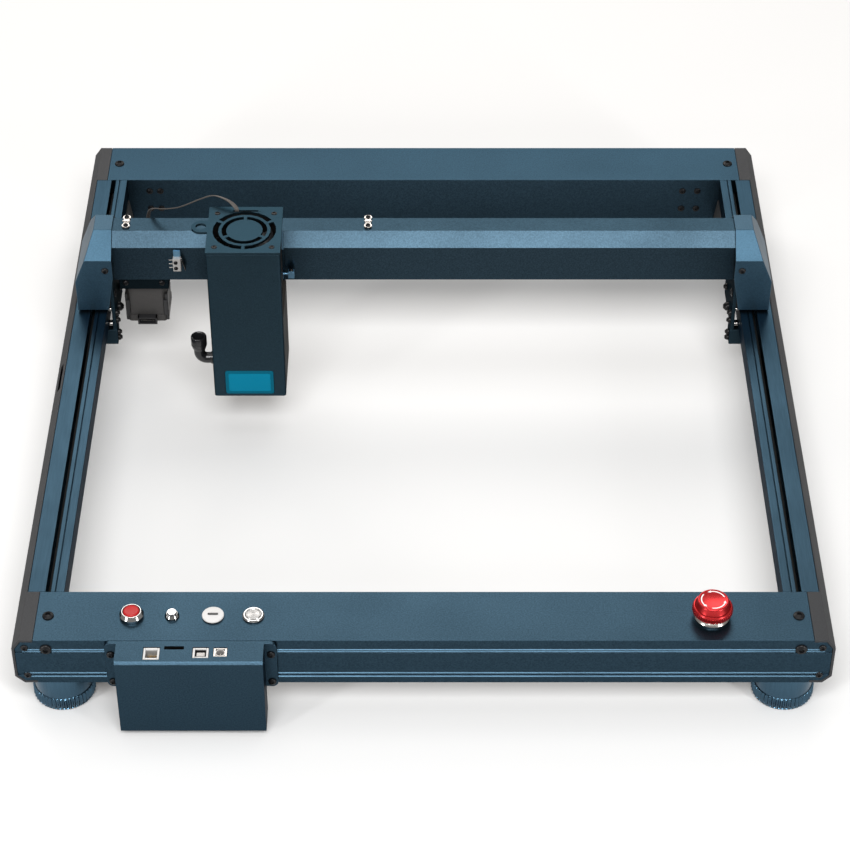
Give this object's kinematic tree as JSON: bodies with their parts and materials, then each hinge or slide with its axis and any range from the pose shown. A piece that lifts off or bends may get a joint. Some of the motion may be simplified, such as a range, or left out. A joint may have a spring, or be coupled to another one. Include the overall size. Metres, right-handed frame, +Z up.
{
  "type": "desktop laser cutter",
  "caption": "Open-frame desktop laser cutter: rectangular aluminium frame on round feet, a rolling gantry, and a laser module on a sliding carriage.",
  "frame": {"origin": "on the table, under the middle of the machine's bounding box", "axes": "+X to the machine's right as its user faces it, +Y to the back, +Z up"},
  "size_m": [0.592, 0.6446, 0.197],
  "materials": {
    "anodised_blue": "blue-grey anodised, fine satin",
    "grey_cover": "matt dark grey powder coat",
    "dark_metal": "dark grey anodised",
    "black_plastic": "moulded black",
    "black_rubber": "matt black",
    "bright_metal": "nickel-plated or turned steel",
    "red_plastic": "moulded red",
    "white_plastic": "moulded white",
    "teal_window": "dark teal filter acrylic",
    "circuit_board": "lacquered board",
    "ribbon_grey": "soft grey insulation"
  },
  "bodies": {
    "frame": {"front_bar": "anodised_blue", "rear_bar": "anodised_blue", "left_rail": "anodised_blue", "right_rail": "anodised_blue", "left_side_cover": "grey_cover", "right_side_cover": "grey_cover", "foot_front_left": "anodised_blue", "foot_front_right": "anodised_blue", "foot_rear_left": "anodised_blue", "foot_rear_right": "anodised_blue", "end_stop_left": "black_rubber", "end_stop_right": "black_rubber", "control_box": "anodised_blue", "control_board": "circuit_board", "power_bezel": "bright_metal", "reset_bezel": "bright_metal", "start_bezel": "bright_metal", "stop_base": "bright_metal", "y_motor": "dark_metal", "y_belt_left": "black_rubber", "y_belt_right": "black_rubber"},
    "gantry": {"x_beam": "anodised_blue", "gantry_cover_left": "anodised_blue", "gantry_cover_right": "anodised_blue", "gantry_plate_left": "anodised_blue", "gantry_plate_right": "anodised_blue", "guide_block_left": "anodised_blue", "guide_block_right": "anodised_blue", "x_motor": "dark_metal", "motor_bracket": "anodised_blue", "x_belt": "black_rubber", "limit_switch": "dark_metal"},
    "carriage": {"x_carriage": "anodised_blue", "ribbon_cable": "ribbon_grey"},
    "module": {"module_front": "anodised_blue", "window_pane": "teal_window", "module_core": "dark_metal", "module_top": "anodised_blue", "lens_barrel": "bright_metal", "air_elbow": "black_plastic"},
    "power_button": {"power_button": "red_plastic"},
    "reset_button": {"reset_button": "bright_metal"},
    "mode_switch": {"mode_switch": "white_plastic"},
    "start_button": {"start_button": "bright_metal"},
    "stop_head": {"stop_head": "red_plastic"},
    "y_drive_shaft": {"y_drive_shaft": "bright_metal"},
    "y_idler_left": {"y_idler_left": "bright_metal"},
    "y_idler_right": {"y_idler_right": "bright_metal"},
    "y_wheel_left_front": {"y_wheel_left_front": "black_rubber"},
    "y_wheel_left_rear": {"y_wheel_left_rear": "black_rubber"},
    "y_wheel_right_front": {"y_wheel_right_front": "black_rubber"},
    "y_wheel_right_rear": {"y_wheel_right_rear": "black_rubber"},
    "x_drive_pulley": {"x_drive_pulley": "bright_metal"},
    "x_idler_pulley": {"x_idler_pulley": "bright_metal"},
    "switch_lever": {"switch_lever": "bright_metal"},
    "x_wheel_left": {"x_wheel_left": "black_rubber"},
    "x_wheel_right": {"x_wheel_right": "black_rubber"},
    "x_wheel_rear": {"x_wheel_rear": "black_rubber"},
    "focus_lock": {"focus_lock": "anodised_blue"},
    "fan_rotor": {"fan_rotor": "black_plastic"}
  },
  "joints": [
    {"name": "gantry_slide", "type": "slide", "parent": "frame", "child": "gantry", "axis": [0, 1, 0], "range_m": [-0.255, 0.132]},
    {"name": "carriage_slide", "type": "slide", "parent": "gantry", "child": "carriage", "axis": [1, 0, 0], "range_m": [-0.025, 0.345], "deforming": ["ribbon_cable"]},
    {"name": "focus_slide", "type": "slide", "parent": "carriage", "child": "module", "axis": [0, 0, 1], "range_m": [-0.025, 0.015], "deforming": ["ribbon_cable"]},
    {"name": "fan_spin", "type": "hinge", "parent": "module", "child": "fan_rotor", "pos_m": [-0.1413, 0.0423, 0.1785], "axis": [0, 0, 1], "continuous": true},
    {"name": "focus_lock_turn", "type": "hinge", "parent": "carriage", "child": "focus_lock", "pos_m": [-0.11, 0.0864, 0.1126], "axis": [1, 0, 0], "range_deg": [0, 180]},
    {"name": "power_press", "type": "slide", "parent": "frame", "child": "power_button", "axis": [0, 0, 1], "range_m": [-0.0025, 0], "stiffness_N_per_m": 400},
    {"name": "reset_press", "type": "slide", "parent": "frame", "child": "reset_button", "axis": [0, 0, 1], "range_m": [-0.0025, 0], "stiffness_N_per_m": 400},
    {"name": "mode_turn", "type": "hinge", "parent": "frame", "child": "mode_switch", "pos_m": [-0.1522, -0.2747, 0.076], "axis": [0, 0, 1], "range_deg": [0, 90]},
    {"name": "start_press", "type": "slide", "parent": "frame", "child": "start_button", "axis": [0, 0, 1], "range_m": [-0.0018, 0], "stiffness_N_per_m": 400},
    {"name": "stop_press", "type": "slide", "parent": "frame", "child": "stop_head", "axis": [0, 0, 1], "range_m": [-0.004, 0]},
    {"name": "switch_lever_turn", "type": "hinge", "parent": "gantry", "child": "switch_lever", "pos_m": [-0.1982, 0.089, 0.1266], "axis": [0, 1, 0], "range_deg": [0, 12], "stiffness_Nm_per_rad": 0.002},
    {"name": "y_wheel_left_front_spin", "type": "hinge", "parent": "gantry", "child": "y_wheel_left_front", "pos_m": [-0.2743, 0.09705, 0.08635], "axis": [1, 0, 0], "continuous": true},
    {"name": "y_wheel_left_rear_spin", "type": "hinge", "parent": "gantry", "child": "y_wheel_left_rear", "pos_m": [-0.2743, 0.12505, 0.08635], "axis": [1, 0, 0], "continuous": true},
    {"name": "y_wheel_right_front_spin", "type": "hinge", "parent": "gantry", "child": "y_wheel_right_front", "pos_m": [0.2743, 0.09705, 0.08635], "axis": [1, 0, 0], "continuous": true},
    {"name": "y_wheel_right_rear_spin", "type": "hinge", "parent": "gantry", "child": "y_wheel_right_rear", "pos_m": [0.2743, 0.12505, 0.08635], "axis": [1, 0, 0], "continuous": true},
    {"name": "x_wheel_left_spin", "type": "hinge", "parent": "carriage", "child": "x_wheel_left", "pos_m": [-0.1623, 0.1017, 0.1104], "axis": [0, 0, 1], "continuous": true},
    {"name": "x_wheel_right_spin", "type": "hinge", "parent": "carriage", "child": "x_wheel_right", "pos_m": [-0.1203, 0.1017, 0.1104], "axis": [0, 0, 1], "continuous": true},
    {"name": "x_wheel_rear_spin", "type": "hinge", "parent": "carriage", "child": "x_wheel_rear", "pos_m": [-0.1413, 0.1204, 0.1104], "axis": [0, 0, 1], "continuous": true},
    {"name": "x_drive_spin", "type": "hinge", "parent": "gantry", "child": "x_drive_pulley", "pos_m": [-0.2315, 0.1183, 0.127], "axis": [0, 0, 1], "continuous": true},
    {"name": "x_idler_spin", "type": "hinge", "parent": "gantry", "child": "x_idler_pulley", "pos_m": [0.236, 0.1183, 0.127], "axis": [0, 0, 1], "continuous": true},
    {"name": "y_drive_spin", "type": "hinge", "parent": "frame", "child": "y_drive_shaft", "pos_m": [0, 0.2973, 0.0531], "axis": [1, 0, 0], "continuous": true},
    {"name": "y_idler_left_spin", "type": "hinge", "parent": "frame", "child": "y_idler_left", "pos_m": [-0.2743, -0.2747, 0.0531], "axis": [1, 0, 0], "continuous": true},
    {"name": "y_idler_right_spin", "type": "hinge", "parent": "frame", "child": "y_idler_right", "pos_m": [0.2743, -0.2747, 0.0531], "axis": [1, 0, 0], "continuous": true}
  ],
  "couplings": [
    {"joint": "y_wheel_left_front_spin", "follows": "gantry_slide", "rad_per_m": -97.09},
    {"joint": "y_wheel_left_rear_spin", "follows": "gantry_slide", "rad_per_m": -97.09},
    {"joint": "y_wheel_right_front_spin", "follows": "gantry_slide", "rad_per_m": -97.09},
    {"joint": "y_wheel_right_rear_spin", "follows": "gantry_slide", "rad_per_m": -97.09},
    {"joint": "y_drive_spin", "follows": "gantry_slide", "rad_per_m": -196.08},
    {"joint": "y_idler_left_spin", "follows": "gantry_slide", "rad_per_m": -196.08},
    {"joint": "y_idler_right_spin", "follows": "gantry_slide", "rad_per_m": -196.08},
    {"joint": "x_wheel_left_spin", "follows": "carriage_slide", "rad_per_m": -131.58},
    {"joint": "x_wheel_right_spin", "follows": "carriage_slide", "rad_per_m": -131.58},
    {"joint": "x_wheel_rear_spin", "follows": "carriage_slide", "rad_per_m": 131.58},
    {"joint": "x_drive_spin", "follows": "carriage_slide", "rad_per_m": 196.08},
    {"joint": "x_idler_spin", "follows": "carriage_slide", "rad_per_m": 196.08}
  ]
}
